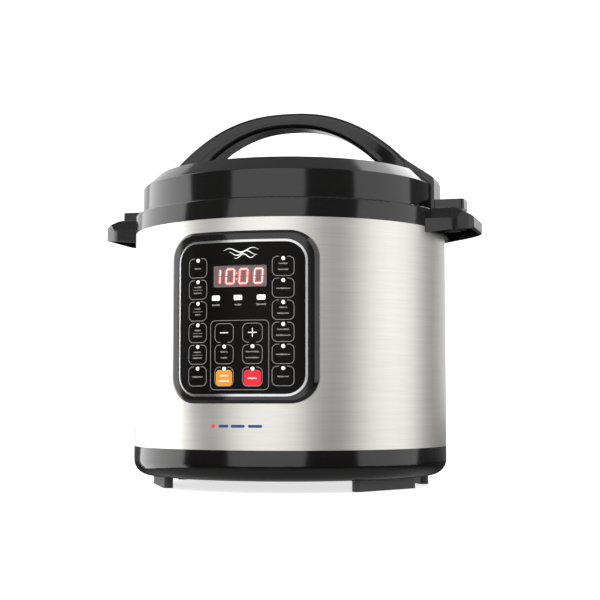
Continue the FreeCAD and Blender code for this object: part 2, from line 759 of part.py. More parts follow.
switch_body = block(-62, -36, -8, 8, chassis_low - 11, chassis_low)
switch_stem = disc(2, chassis_low - 0.5, lock_bottom, -49, 0)
save("pressure_switch", fused([switch_body, switch_stem]))
chassis = chassis.cut(disc(2.2, chassis_low - 1, lock_bottom + 1, -49, 0))
save("chassis_plate", chassis)
fuse = rod(3, V(44, -10, chassis_low - 3), V(44, 12, chassis_low - 3))
save("thermal_fuse", fuse)

# ---- mains inlet in the back of the shell
inlet_out = body_radius + inlet_face
inlet_depth = socket_depth + inlet_back_wall
inlet = block(-inlet_width / 2, inlet_width / 2, inlet_out - inlet_depth, inlet_out,
              inlet_low, inlet_high)
flange = block(-inlet_width / 2 - inlet_flange, inlet_width / 2 + inlet_flange,
               body_radius - 8, inlet_out, inlet_low - inlet_flange, inlet_high + inlet_flange)
flange = flange.cut(disc(body_radius, inlet_low - 10, inlet_high + 10))
socket_face = Part.Face(corner_wire([
    (-socket_width / 2, inlet_height - socket_tall / 2, 1),
    (socket_width / 2, inlet_height - socket_tall / 2, 1),
    (socket_width / 2, inlet_height + socket_tall / 2 - 5, 1),
    (socket_width / 2 - 5, inlet_height + socket_tall / 2, 1),
    (-socket_width / 2 + 5, inlet_height + socket_tall / 2, 1),
    (-socket_width / 2, inlet_height + socket_tall / 2 - 5, 1)],
    lambda x, z: V(x, inlet_out - socket_depth, z)))
inlet = fused([inlet, flange]).cut(socket_face.extrude(V(0, socket_depth + 1, 0)))
pins = []
pin_cuts = []
for x, z in ((-7.0, inlet_height - 2.0), (7.0, inlet_height - 2.0), (0.0, inlet_height + 2.0)):
    pin = block(x - 1, x + 1, inlet_out - inlet_depth - pin_tail, inlet_out - socket_depth + pin_length,
                z - 2, z + 2)
    pins.append(pin)
    pin_cuts.append(block(x - 1, x + 1, inlet_out - inlet_depth - 1, inlet_out - socket_depth + 1,
                          z - 2, z + 2))
inlet = inlet.cut(group(pin_cuts))
save("power_inlet", inlet)
save("inlet_pins", group(pins))

# ---- condensation cup on two ledges behind the body, below the collar's spout
ledge_z = cup_top - 6.0
bracket_plate = block(-cup_width / 2 - 7, cup_width / 2 + 7, body_radius - 8, body_radius + 3.2,
                      cup_top - 30, cup_top + 3)
arms = []
for side in (-1, 1):
    inner = side * (cup_width / 2 + 0.4)
    outer = side * (cup_width / 2 + 7)
    arm = block(min(inner, outer), max(inner, outer), body_radius - 8, body_radius + cup_depth - 1,
                ledge_z - 6, ledge_z - 0.2)
    arms.append(arm)
bracket = fused([bracket_plate] + arms).cut(disc(body_radius, cup_top - 40, cup_top + 10))
cup = plan_prism([
    (-cup_width / 2, cup_back, 3), (cup_width / 2, cup_back, 3),
    (cup_width / 2, cup_back + cup_depth, 7), (-cup_width / 2, cup_back + cup_depth, 7)],
    cup_top - cup_height, cup_top)
cup_inside = plan_prism([
    (-cup_width / 2 + cup_wall, cup_back + cup_wall, 1.5),
    (cup_width / 2 - cup_wall, cup_back + cup_wall, 1.5),
    (cup_width / 2 - cup_wall, cup_back + cup_depth - cup_wall, 5.2),
    (-cup_width / 2 + cup_wall, cup_back + cup_depth - cup_wall, 5.2)],
    cup_top - cup_height + cup_wall, cup_top + 1)
wings = []
for side in (-1, 1):
    inner = side * (cup_width / 2 - 1)
    outer = side * (cup_width / 2 + 6)
    wings.append(block(min(inner, outer), max(inner, outer), cup_back + 1, cup_back + cup_depth - 8,
                       ledge_z, ledge_z + 2))
cup = fused([cup] + wings).cut(cup_inside)
save("cup_bracket", bracket)
save("condensation_cup", cup)

# ---- lid: steel plate with the bayonet skirt, sealing ring and its rack
steel_lid = turned([
    (0, dome_top - lid_steel, 0), (dome_radius - 14.6, dome_top - lid_steel, 3),
    (dome_radius - 0.6, steel_under, 4), (skirt_inside, steel_under, 2.6),
    (skirt_inside, lid_tooth_low, 0), (skirt_radius, lid_tooth_low, 0),
    (skirt_radius, steel_top, 3.8), (dome_radius, steel_top, 3),
    (dome_radius - 14, dome_top, 4), (0, dome_top, 0)])
lid_teeth = []
for i in range(tooth_count):
    lid_teeth.append(sector(skirt_radius - lid_tooth_reach, skirt_radius - lid_steel / 2,
                            lid_tooth_low, lid_tooth_top, i * 360.0 / tooth_count,
                            tooth_half_angle))
steel_lid = fused([steel_lid] + lid_teeth)
lid_screws = []
lid_bosses = []
lid_boss_cuts = []
steel_cuts = []
for angle in (45, 135, 225, 315):
    p = at_angle(lid_boss_radius, angle)
    lid_bosses.append(disc(5, dome_top, crown_top - 2, p.x, p.y))
    lid_boss_cuts.append(disc(screw_radius + 0.1, dome_top - 1, dome_top + 15, p.x, p.y))
    steel_cuts.append(disc(screw_radius + fit_gap, dome_top - 4, dome_top + 1, p.x, p.y))
    under = dome_top - lid_steel
    lid_screws.append(disc(head_radius, under - head_height, under, p.x, p.y).fuse(
        disc(screw_radius, under, dome_top + 13, p.x, p.y)))
steel_cuts.append(disc(stem_radius, dome_top - 4, dome_top + 1, 0, valve_back))
steel_cuts.append(disc(float_radius + 0.05, dome_top - 4, dome_top + 1, float_side, valve_back))
steel_lid = steel_lid.cut(group(steel_cuts))
save("steel_lid", steel_lid)

ring_outer = skirt_inside - 1.0
ring_inner = ring_outer - ring_width
sealing_ring = turned([
    (ring_inner, ring_low, 0.8), (ring_outer, ring_low, 1.5), (ring_outer, ring_top, 1.5),
    (ring_inner, ring_top, 0.8), (ring_inner, ring_top - 2.6, 0.6),
    (ring_outer - 4.5, ring_top - 2.6, 1.0), (ring_outer - 4.5, ring_low + 2.6, 1.0),
    (ring_inner, ring_low + 2.6, 0.6)])
save("sealing_ring", sealing_ring)
rack_outer = ring_inner - 0.6
rack = pipe(rack_outer, rack_outer - 1.4, ring_low + 2.0, steel_under + 4)
rack = rack.cut(turned([
    (0, dome_top + 5, 0), (0, dome_top - lid_steel, 0), (dome_radius - 14.6, dome_top - lid_steel, 0),
    (dome_radius - 0.6, steel_under, 0), (skirt_radius, steel_under, 0),
    (skirt_radius, dome_top + 5, 0)]))
save("ring_rack", rack)

# ---- lid cover
crown_ball = (cone_radius ** 2 + lid_crown_height ** 2) / (2 * lid_crown_height)


def crown_height(radius, offset=0.0):
    ball = crown_ball - offset
    return crown_top - crown_ball + sqrt(ball ** 2 - radius ** 2)


def cover_form(offset, low):
    """Solid of revolution of the lid's outside, moved inwards by an offset."""
    wall = lid_radius - offset
    slope = atan2(lid_cone_height, lid_cone_inset)
    shift = offset * tan(slope / 2)
    edge_r = cone_radius - offset * 0.35
    edge_z = crown_height(edge_r, offset)
    mid = edge_r / 2
    points = [V(0, 0, low), V(wall, 0, low), V(wall, 0, lid_edge - shift), V(edge_r, 0, edge_z)]
    lines = [Part.LineSegment(a, b).toShape() for a, b in zip(points[:-1], points[1:])]
    arc = Part.Arc(V(edge_r, 0, edge_z), V(mid, 0, crown_height(mid, offset)),
                   V(0, 0, crown_height(0, offset))).toShape()
    close = Part.LineSegment(V(0, 0, crown_height(0, offset)), V(0, 0, low)).toShape()
    face = Part.Face(Part.Wire(lines + [arc, close]))
    form = face.revolve(V(0, 0, 0), V(0, 0, 1), 360)
    rims = [edge for edge in form.Edges if edge.BoundBox.ZLength < 0.01
            and abs(edge.BoundBox.ZMax - points[2].z) < 0.01]
    return form.makeFillet(lid_edge_rounding, rims)


envelope = cover_form(0.0, lid_low)
cavity = cover_form(lid_wall, lid_low - 1)
cover = envelope.cut(cavity)
well = pipe(well_radius + 1.8, well_radius, dome_top, crown_top + 5, 0, valve_back)
float_well = pipe(8.0, 6.4, dome_top, crown_top + 5, float_side, valve_back)
inside_parts = fused(lid_bosses + [well, float_well]).common(envelope)
cover = fused([cover, inside_parts])
holes = [disc(well_radius, dome_top - 1, crown_top + 6, 0, valve_back),
         disc(6.4, dome_top - 1, crown_top + 6, float_side, valve_back)]
handle_screw_x = 97.0
for side in (-1, 1):
    for y in (-7, 7):
        x = side * handle_screw_x
        z = crown_height(sqrt(x * x + y * y), lid_wall)
        holes.append(disc(screw_radius + fit_gap, z - 4, z + 6, x, y))
        lid_screws.append(disc(head_radius, z - head_height - 0.9, z - 0.9, x, y).fuse(
            disc(screw_radius, z - 1.2, z + 15, x, y)))
cover = cover.cut(group(lid_boss_cuts + holes))
save("lid_cover", cover)
save("lid_screws", group(lid_screws))


# ---- lid handle
def arch_height(x):
    return arch_top - arch_drop * (abs(x) / arch_half_span) ** arch_power


def under_height(x, lift=0.0):
    top = arch_top - arch_thickness + lift
    return top - under_drop * (abs(x) / (under_half_span + lift * 1.05)) ** under_power


def straight(points):
    """Straight edges along a path, without any that has no length."""
    pairs = zip(points[:-1], points[1:])
    return [Part.LineSegment(a, b).toShape() for a, b in pairs if a.distanceToPoint(b) > 1e-6]


def arch_prism(outer, inner, outer_span, inner_span, foot_z, half_width):
    """Region between two arch curves, as a prism along Y."""
    steps = 12
    top_points = []
    low_points = []
    for i in range(-steps, steps + 1):
        x = outer_span * i / steps
        top_points.append(V(x, -half_width, outer(x)))
        u = inner_span * i / steps
        low_points.append(V(u, -half_width, inner(u)))
    top_curve = Part.BSplineCurve()
    top_curve.interpolate(top_points)
    low_curve = Part.BSplineCurve()
    low_curve.interpolate(low_points)
    path = [top_points[-1], V(outer_span, -half_width, foot_z), low_points[-1]]
    back = [low_points[0], V(-outer_span, -half_width, foot_z), top_points[0]]
    edges = [top_curve.toShape()] + straight(path) + [low_curve.toShape()] + straight(back)
    return Part.Face(Part.Wire(edges)).extrude(V(0, 2 * half_width, 0))


foot_z = cone_top - 8.0


def span_to(height, lift=0.0):
    top = arch_top - arch_thickness + lift
    return (under_half_span + lift * 1.05) * ((top - height) / under_drop) ** (1 / under_power)


inner_end = span_to(foot_z)
arch = arch_prism(arch_height, under_height, arch_half_span, inner_end, foot_z, arch_half_width)


def long_edges(prism, top):
    """The long curved edges of an arch prism, upper pair or lower pair."""
    found = []
    for edge in prism.Edges:
        if edge.Length > 150 and edge.BoundBox.YLength < 0.01:
            found.append(edge)
    found.sort(key=lambda edge: edge.BoundBox.ZMax)
    return found[2:] if top else found[:2]


arch = arch.makeFillet(arch_rounding, long_edges(arch, True))
grip_end_x = span_to(foot_z, grip_thickness)
grip_sizes = [lambda x: under_height(x, grip_thickness), under_height, grip_end_x, inner_end,
              foot_z]
grip_zone = arch_prism(*grip_sizes, arch_half_width + 1)
grip = arch_prism(*grip_sizes, arch_half_width - grip_inset)
grip = grip.makeFillet(grip_rounding, long_edges(grip, False)).cut(envelope)
arch = arch.cut(grip_zone)

slope = (arch_height(arch_half_span) - (lid_edge + 6.2)) / (lid_radius + 1.1 - arch_half_span)
band_out = lid_radius + band_proud
lug_low = lid_low + lug_lift
lug_high = lug_low + lug_height
sides = []
for side in (-1, 1):
    start = arch_half_span - 5.5
    band = side_prism([
        (start, foot_z, 0), (start, arch_height(arch_half_span) + 5.5 * slope, 0),
        (lid_radius + 1.1, lid_edge + 6.2, 3), (band_out, lid_edge + 2.0, 2),
        (band_out, lug_low, 0), (lid_radius - 5, lug_low, 0), (lid_radius - 5, foot_z, 0)],
        band_half_width)
    lug = plan_prism([
        (lid_radius - 5, -lug_half_width, 0), (lid_radius + lug_reach, -lug_half_width, 3),
        (lid_radius + lug_reach, lug_half_width, 3), (lid_radius - 5, lug_half_width, 0)],
        lug_low, lug_high)
    piece = band.fuse(lug)
    if side < 0:
        piece = piece.mirror(V(0, 0, 0), V(1, 0, 0))
    sides.append(piece)
handle_bores = []
for side in (-1, 1):
    for y in (-7, 7):
        x = side * handle_screw_x
        z = crown_height(sqrt(x * x + y * y), lid_wall)
        handle_bores.append(disc(screw_radius + 0.1, z - 4, z + 16, x, y))
lid_handle = fused([arch] + sides).cut(envelope).cut(grip_zone).cut(group(handle_bores))
save("lid_handle", lid_handle)
save("lid_handle_grip", grip.cut(group(handle_bores)))

# ---- valves
knob_low = crown_height(valve_back) + 1.0
stem_top = knob_low + 7.0
valve_stem = disc(stem_radius, dome_top - lid_steel - 5, stem_top, 0, valve_back)
nut = disc(7.0, dome_top - lid_steel - 3, dome_top - lid_steel, 0, valve_back)
collar_nut = disc(7.0, dome_top, dome_top + 3, 0, valve_back)
valve_stem = fused([valve_stem, nut, collar_nut])
valve_stem = valve_stem.cut(disc(stem_bore, dome_top - 20, stem_top + 1, 0, valve_back))
save("valve_stem", valve_stem)
shield_top = dome_top - lid_steel
shield = disc(11.5, shield_top - 9.5, shield_top, 0, valve_back)
shield = shield.cut(disc(10.5, shield_top - 8.5, shield_top + 1, 0, valve_back))
shield_cuts = []
for i in range(12):
    p = V(sin(radians(30 * i)) * 11, cos(radians(30 * i)) * 11 + valve_back, 0)
    shield_cuts.append(disc(1.2, shield_top - 8.0, shield_top - 2.0, p.x, p.y))
shield = shield.cut(group(shield_cuts))
save("anti_block_shield", shield)

knob = disc(knob_radius, knob_low, knob_low + knob_height, 0, valve_back)
knob_edges = []
for edge in knob.Edges:
    if edge.BoundBox.ZLength < 0.01 and edge.BoundBox.ZMin > knob_low + 1:
        knob_edges.append(edge)
knob = knob.makeFillet(2.5, knob_edges)
fin = block(-2.6, 2.6, valve_back - knob_radius - 9, valve_back, knob_low + 3,
            knob_low + knob_height - 3)
knob = fused([knob, fin])
knob = knob.cut(disc(stem_radius + 0.05, knob_low - 1, stem_top + 0.2, 0, valve_back))
knob = knob.cut(disc(1.2, knob_low, knob_low + knob_height + 1, 0, valve_back))
save("pressure_valve", knob)

float_low = dome_top - lid_steel - float_travel - 3.0
float_high = crown_height(sqrt(valve_back ** 2 + float_side ** 2)) - 2.0
float_valve = fused([
    disc(float_radius, float_low, float_high, float_side, valve_back),
    disc(4.6, dome_top + 0.2, dome_top + 3.0, float_side, valve_back),
    disc(4.2, float_low, float_low + 2.4, float_side, valve_back)])
save("float_valve", float_valve)
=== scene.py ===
import json
import math
import bpy
import numpy as np
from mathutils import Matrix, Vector

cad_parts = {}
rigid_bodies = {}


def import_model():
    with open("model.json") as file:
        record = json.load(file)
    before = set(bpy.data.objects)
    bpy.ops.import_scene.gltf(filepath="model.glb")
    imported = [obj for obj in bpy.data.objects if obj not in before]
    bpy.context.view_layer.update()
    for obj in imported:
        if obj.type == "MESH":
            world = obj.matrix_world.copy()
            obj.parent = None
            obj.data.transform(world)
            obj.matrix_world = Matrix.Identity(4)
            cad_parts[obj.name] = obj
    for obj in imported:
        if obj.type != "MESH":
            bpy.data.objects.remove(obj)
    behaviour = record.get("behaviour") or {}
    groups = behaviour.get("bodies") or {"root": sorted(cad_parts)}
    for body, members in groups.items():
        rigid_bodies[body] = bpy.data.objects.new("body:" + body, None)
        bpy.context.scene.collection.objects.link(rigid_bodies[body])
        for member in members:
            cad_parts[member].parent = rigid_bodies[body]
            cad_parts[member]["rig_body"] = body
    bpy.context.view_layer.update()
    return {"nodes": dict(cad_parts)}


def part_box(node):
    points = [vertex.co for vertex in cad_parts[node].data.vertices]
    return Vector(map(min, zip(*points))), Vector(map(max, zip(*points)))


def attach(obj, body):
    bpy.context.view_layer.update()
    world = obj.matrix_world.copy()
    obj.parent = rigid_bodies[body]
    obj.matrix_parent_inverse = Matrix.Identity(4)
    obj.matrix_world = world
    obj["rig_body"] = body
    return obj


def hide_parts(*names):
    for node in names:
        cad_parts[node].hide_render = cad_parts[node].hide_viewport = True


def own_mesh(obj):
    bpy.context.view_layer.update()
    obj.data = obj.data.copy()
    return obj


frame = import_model()
cadNodes = frame["nodes"]
print("frame loaded:", len(cadNodes), "nodes")


# camera: stands low in front of the body, a little to its right, and looks slightly up
viewpoint = dict(distance=1.1441, azimuth=17.0, height=0.0735, turn=0.415, pitch=4.32, lens=78.38)


def placeCamera(look):
    a, t, p = (math.radians(look[k]) for k in ("azimuth", "turn", "pitch"))
    back, right = Vector((math.sin(a), -math.cos(a), 0)), Vector((math.cos(a), math.sin(a), 0))
    level = right * math.sin(t) - back * math.cos(t)
    aim = level * math.cos(p) + Vector((0, 0, math.sin(p)))
    data = bpy.data.cameras.new("camera")
    data.lens, data.sensor_width = look["lens"], 36.0
    data.clip_start, data.clip_end = 0.02, 50
    camera = bpy.data.objects.new("camera", data)
    camera.location = back * look["distance"] + Vector((0, 0, look["height"]))
    camera.rotation_euler = aim.to_track_quat("-Z", "Y").to_euler()
    bpy.context.scene.collection.objects.link(camera)
    bpy.context.scene.camera = camera


placeCamera(viewpoint)
bpy.context.scene.view_settings.view_transform = "Standard"


# shader helpers
class Wire:
    # one socket of a material's tree; + - and * add Math nodes
    def __init__(self, finish, socket):
        self.finish, self.socket = finish, socket

    def maths(self, operation, *values):
        return self.finish.node("ShaderNodeMath", {"operation": operation}, dict(enumerate(values)))

    def __add__(self, other):
        return self.maths("ADD", self, other)

    __radd__ = __add__

    def __sub__(self, other):
        return self.maths("SUBTRACT", self, other)

    def __rsub__(self, other):
        return self.maths("SUBTRACT", other, self)

    def __mul__(self, other):
        return self.maths("MULTIPLY", self, other)

    __rmul__ = __mul__


class Finish:
    # a material, or the room's light, built from an empty node tree
    def __init__(self, name, kind="materials"):
        self.material = getattr(bpy.data, kind).new(name)
        self.material.use_nodes = True
        self.tree = self.material.node_tree
        self.tree.nodes.clear()

    def node(self, kind, settings=None, inputs=None, output=0):
        made = self.tree.nodes.new(kind)
        for key, value in (settings or {}).items():
            if key == "stops":
                ramp = made.color_ramp
                while len(ramp.elements) < len(value):
                    ramp.elements.new(0.5)
                for element, (place, level) in zip(ramp.elements, value):
                    element.position, element.color = place, (level, level, level, 1)
            else:
                setattr(made, key, value)
        for key, value in (inputs or {}).items():
            if isinstance(value, Wire):
                self.tree.links.new(value.socket, made.inputs[key])
            else:
                made.inputs[key].default_value = value
        return Wire(self, made.outputs[output]) if len(made.outputs) else None

    def place(self, stretch=(1, 1, 1)):
        # object coordinates, stretched along each axis
        spot = self.node("ShaderNodeTexCoord", output=3)
        return self.node("ShaderNodeMapping", inputs={"Vector": spot, "Scale": stretch})

    def noise(self, scale, detail=2.0, stretch=(1, 1, 1), roughness=0.5):
        return self.node("ShaderNodeTexNoise", inputs={
            "Vector": self.place(stretch), "Scale": scale, "Detail": detail,
            "Roughness": roughness})

    def ramp(self, value, stops):
        return self.node("ShaderNodeValToRGB", {"stops": stops}, {0: value})

    def mix(self, factor, one, two):
        # a colour between two, each a tuple or a wire
        ends = {6: (*one, 1) if isinstance(one, tuple) else one,
                7: (*two, 1) if isinstance(two, tuple) else two}
        return self.node("ShaderNodeMix", {"data_type": "RGBA"}, {0: factor, **ends}, 2)

    def bump(self, height, strength, distance):
        return self.node("ShaderNodeBump", inputs={
            "Strength": strength, "Distance": distance, "Height": height})

    def surface(self, **sockets):
        shader = self.node("ShaderNodeBsdfPrincipled", inputs=sockets)
        self.node("ShaderNodeOutputMaterial", inputs={"Surface": shader})
        return self.material


def mouldedFinish(name, look):
    # moulded plastic: cloudy colour, a flow-marked gloss and a fine spark-eroded grain
    f = Finish(name)
    cloud = f.noise(look.get("cloud", 22.0), 3.0)
    grain = f.noise(look.get("grain", 2600.0), 2.0)
    dust = f.ramp(f.noise(look.get("dust", 900.0), 1.0), [(0.66, 0.0), (0.74, 1.0)])
    dark, light = look["colours"]
    low, high = look["roughness"]
    return f.surface(**{
        "Base Color": f.mix(cloud + 0.25 * (grain - 0.5), dark, light),
        "Roughness": cloud * (high - low) + low + dust * look.get("dustRough", 0.05),
        "Normal": f.bump(grain, look.get("bump", 0.12), look.get("depth", 0.00004)),
        "IOR": look.get("ior", 1.5),
        "Specular IOR Level": look.get("specular", 0.5)})


def brushedFinish(name, look):
    # metal brushed around an upright axis: hair-fine level lines over slow bands
    f = Finish(name)
    hair = f.noise(look["lines"], 3.0, (0.012, 0.012, 1.0), 0.6)
    band = f.noise(look["lines"] * 0.12, 2.0, (0.05, 0.05, 1.0), 0.5)
    haze = f.noise(9.0, 2.0)
    streak = 0.65 * hair + 0.35 * band
    low, high = look["roughness"]
    return f.surface(**{
        "Base Color": f.mix(f.ramp(streak + 0.12 * (haze - 0.5), [(0.3, 0.0), (0.7, 1.0)]),
                            *look["colours"]),
        "Metallic": 1.0,
        "Roughness": (streak * 0.7 + haze * 0.3) * (high - low) + low,
        "Anisotropic": look.get("anisotropy", 0.6),
        "Anisotropic Rotation": look.get("rotation", 0.0),
        "Normal": f.bump(hair, look.get("bump", 0.08), 0.00002)})


def metalFinish(name, look):
    # plated, pressed or cast metal: mottled tone, fine pitting and rubbed patches
    f = Finish(name)
    mottle = f.noise(look.get("mottle", 60.0), 4.0)
    pits = f.noise(look.get("pits", 1500.0), 2.0)
    rubbed = f.ramp(f.noise(35.0, 3.0), [(0.42, 0.0), (0.6, 1.0)])
    low, high = look["roughness"]
    return f.surface(**{
        "Base Color": f.mix(mottle, *look["colours"]),
        "Metallic": 1.0,
        "Roughness": (mottle * 0.6 + rubbed * 0.4) * (high - low) + low,
        "Normal": f.bump(pits, look.get("bump", 0.15), look.get("depth", 0.00003))})


def castFinish(name, look):
    # turned casting: fine tool rings over a sandy skin
    f = Finish(name)
    spot = f.node("ShaderNodeTexCoord", output=3)
    run = f.node("ShaderNodeVectorMath", {"operation": "MULTIPLY"}, {0: spot, 1: (1, 1, 0)})
    radius = f.node("ShaderNodeVectorMath", {"operation": "LENGTH"}, {0: run}, 1)
    rings = f.node("ShaderNodeMath", {"operation": "SINE"}, {0: radius * look["rings"]})
    sand = f.noise(1200.0, 3.0)
    low, high = look["roughness"]
    return f.surface(**{
        "Base Color": f.mix(sand * 0.6 + rings * 0.15 + 0.2, *look["colours"]),
        "Metallic": 1.0,
        "Roughness": sand * (high - low) + low,
        "Normal": f.bump(rings * 0.5 + sand, 0.2, 0.00004)})


def boardFinish(name, look):
    # solder mask over a mesh of copper tracks
    f = Finish(name)
    tracks = f.node("ShaderNodeTexBrick", inputs={
        "Vector": f.place(), "Scale": 90.0, "Mortar Size": 0.06, "Mortar Smooth": 0.2}, output=1)
    glass = f.noise(700.0, 2.0)
    return f.surface(**{
        "Base Color": f.mix(tracks * 0.75 + glass * 0.15, *look["colours"]),
        "Roughness": glass * 0.2 + 0.25,
        "Normal": f.bump(tracks, 0.3, 0.00006)})


def rubberFinish(name, look):
    # soft silicone: translucent-looking milky body with a fine bloom on it
    f = Finish(name)
    bloom = f.noise(150.0, 4.0)
    fine = f.noise(2200.0, 2.0)
    return f.surface(**{
        "Base Color": f.mix(bloom, *look["colours"]),
        "Roughness": bloom * 0.18 + look["roughness"][0],
        "Sheen Weight": 0.15,
        "Normal": f.bump(fine, 0.15, 0.00004)})


def clearFinish(name, look):
    # see-through moulding: a constant tint with flow lines in its gloss
    f = Finish(name)
    flow = f.noise(40.0, 3.0, (1, 1, 0.3))
    return f.surface(**{
        "Base Color": f.mix(flow, *look["colours"]),
        "Roughness": flow * 0.08 + look["roughness"][0],
        "Alpha": flow * look["thinning"] + look["alpha"],
        "Normal": f.bump(flow, 0.05, 0.0001)})


def glowFinish(name, look):
    # lit lens: faintly mottled
    f = Finish(name)
    mottle = f.noise(look.get("mottle", 900.0), 2.0)
    return f.surface(**{
        "Base Color": (*look["colours"][0], 1),
        "Roughness": mottle * 0.2 + 0.25,
        "Emission Color": f.mix(mottle, *look["colours"]),
        "Emission Strength": look["glow"]})


def printFinish(name, look):
    # screen-printed ink: slightly uneven cover; a glow, where given, is painted light that makes
    # the ink shine as if lit
    f = Finish(name)
    cover = f.noise(1400.0, 3.0)
    return f.surface(**{
        "Base Color": f.mix(cover, *look["colours"]),
        "Roughness": cover * 0.15 + look.get("rough", 0.4),
        "Emission Color": (*look["colours"][1], 1),
        "Emission Strength": look.get("glow", 0.0),
        "Specular IOR Level": 0.3})


mouldings = {
    "black_gloss": dict(colours=((0.0016, 0.0014, 0.0013), (0.003, 0.0026, 0.0024)),
                        roughness=(0.1, 0.14), bump=0.04, grain=1800.0),
    "black_plastic": dict(colours=((0.0022, 0.0019, 0.0019), (0.005, 0.0044, 0.0044)),
                          roughness=(0.22, 0.32), bump=0.1),
    "handle_plastic": dict(colours=((0.0018, 0.0016, 0.0016), (0.0036, 0.0032, 0.0032)),
                           roughness=(0.13, 0.19), bump=0.06),
    "foot_plastic": dict(colours=((0.012, 0.012, 0.0125), (0.03, 0.03, 0.031)),
                         roughness=(0.45, 0.6), bump=0.3, grain=1500.0),
    "panel_black": dict(colours=((0.0016, 0.0012, 0.001), (0.003, 0.0023, 0.002)),
                        roughness=(0.3, 0.42), bump=0.05, specular=0.07),
    "part_plastic": dict(colours=((0.1, 0.1, 0.11), (0.19, 0.19, 0.2)),
                         roughness=(0.4, 0.6), bump=0.25),
}
metals = {
    "zinc_steel": dict(colours=((0.5, 0.5, 0.53), (0.66, 0.65, 0.62)), roughness=(0.22, 0.38)),
    "plain_steel": dict(colours=((0.5, 0.49, 0.48), (0.62, 0.61, 0.6)), roughness=(0.3, 0.42)),
    "spring_steel": dict(colours=((0.4, 0.4, 0.42), (0.58, 0.57, 0.56)), roughness=(0.2, 0.32)),
    "bright_trim": dict(colours=((0.5, 0.5, 0.51), (0.62, 0.62, 0.63)), roughness=(0.2, 0.28),
                        pits=900.0, bump=0.05),
    "pin_brass": dict(colours=((0.6, 0.44, 0.2), (0.75, 0.58, 0.3)), roughness=(0.2, 0.35)),
    "float_metal": dict(colours=((0.55, 0.55, 0.56), (0.7, 0.7, 0.7)), roughness=(0.2, 0.3)),
}
brushings = {
    "brushed_shell": dict(colours=((0.63, 0.61, 0.575), (0.73, 0.712, 0.68)), lines=2600.0,
                          roughness=(0.3, 0.4), anisotropy=0.6),
    "pot_steel": dict(colours=((0.6, 0.59, 0.58), (0.7, 0.69, 0.68)), lines=1500.0,
                      roughness=(0.22, 0.3), anisotropy=0.4),
}
finishes = {name: mouldedFinish(name, look) for name, look in mouldings.items()}
finishes.update({name: metalFinish(name, look) for name, look in metals.items()})
finishes.update({name: brushedFinish(name, look) for name, look in brushings.items()})
finishes["cast_aluminium"] = castFinish("cast_aluminium", dict(
    colours=((0.55, 0.55, 0.56), (0.72, 0.72, 0.72)), roughness=(0.3, 0.45), rings=5000.0))
finishes["board_green"] = boardFinish("board_green", dict(
    colours=((0.02, 0.16, 0.06), (0.1, 0.34, 0.14))))
finishes["silicone"] = rubberFinish("silicone", dict(
    colours=((0.62, 0.61, 0.58), (0.78, 0.77, 0.74)), roughness=(0.42,)))
finishes["clear_plastic"] = clearFinish("clear_plastic", dict(
    colours=((0.78, 0.8, 0.82), (0.86, 0.88, 0.9)), roughness=(0.08,), alpha=0.24, thinning=0.1))
finishes["smoked_window"] = clearFinish("smoked_window", dict(
    colours=((0.02, 0.017, 0.016), (0.03, 0.026, 0.025)), roughness=(0.1,), alpha=0.12,
    thinning=0.06))
finishes["light_pipe"] = glowFinish("light_pipe", dict(
    colours=((0.86, 0.86, 0.86), (0.95, 0.95, 0.95)), glow=0.45))
print("finishes made:", len(finishes))


# every carried-over node gets the finish of its material slot
nodeSlots = {
    "black_gloss": ["collar_ring", "base_tray", "lid_cover", "panel_bezel"],
    "black_plastic": ["lid_handle", "lid_handle_grip", "handle_left", "handle_right",
                      "power_inlet", "cup_bracket", "pressure_valve"],
    "foot_plastic": ["feet"],
    "zinc_steel": ["case_screws", "lid_screws"],
    "plain_steel": ["chassis_plate", "lock_pot", "sensor_sleeve", "ring_rack", "anti_block_shield",
                    "valve_stem", "sensor_cap"],
    "cast_aluminium": ["heating_plate"],
    "spring_steel": ["sensor_spring"],
    "pot_steel": ["inner_pot", "steel_lid"],
    "brushed_shell": ["steel_shell"],
    "bright_trim": ["panel_trim"],
    "panel_black": ["panel_face"] + [n for n in cadNodes if n.startswith("key_")],
    "smoked_window": ["display_window"],
    "light_pipe": ["indicator_lights"],
    "part_plastic": ["display_module", "tact_switches", "pressure_switch", "thermal_fuse",
                     "power_board_parts", "heater_terminals"],
    "board_green": ["control_board", "power_board"],
    "pin_brass": ["inlet_pins"],
    "clear_plastic": ["condensation_cup"],
    "silicone": ["sealing_ring"],
    "float_metal": ["float_valve"],
}
slotOf = {node: name for name, nodes in nodeSlots.items() for node in nodes}
for node, item in cadNodes.items():
    item.data.materials.clear()
    item.data.materials.append(finishes[slotOf[node]])
bodyOf = {node: item["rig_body"] for node, item in cadNodes.items()}
print("carried-over nodes dressed")


# mesh helpers
def joined(blocks):
    # blocks of (points, faces, material index) as one set of arrays
    points, faces, marks, base = [], [], [], 0
    for spots, polys, mark in blocks:
        points.append(spots)
        faces += [row + base for row in polys]
        marks.append(np.full(len(polys), mark))
        base += len(spots)
    return np.concatenate(points), faces, np.concatenate(marks)


def buildPiece(name, blocks, dress, body, nodes=(), crease=32.0, weigh=True):
    # one mesh of all blocks, smooth apart from edges sharper than crease
    points, faces, marks = joined(blocks)
    mesh = bpy.data.meshes.new(name)
    mesh.from_pydata(points.tolist(), [], [row.tolist() for row in faces])
    for material in dress:
        mesh.materials.append(material)
    mesh.polygons.foreach_set("material_index", marks.astype(np.int32))
    mesh.polygons.foreach_set("use_smooth", np.ones(len(mesh.polygons), bool))
    mesh.update()
    mesh.set_sharp_from_angle(angle=math.radians(crease))
    piece = bpy.data.objects.new(name, mesh)
    bpy.context.scene.collection.objects.link(piece)
    if weigh:
        level = piece.modifiers.new("level", "WEIGHTED_NORMAL")
        level.keep_sharp, level.weight = True, 50
    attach(piece, body)
    if nodes:
        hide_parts(*nodes)
    return piece


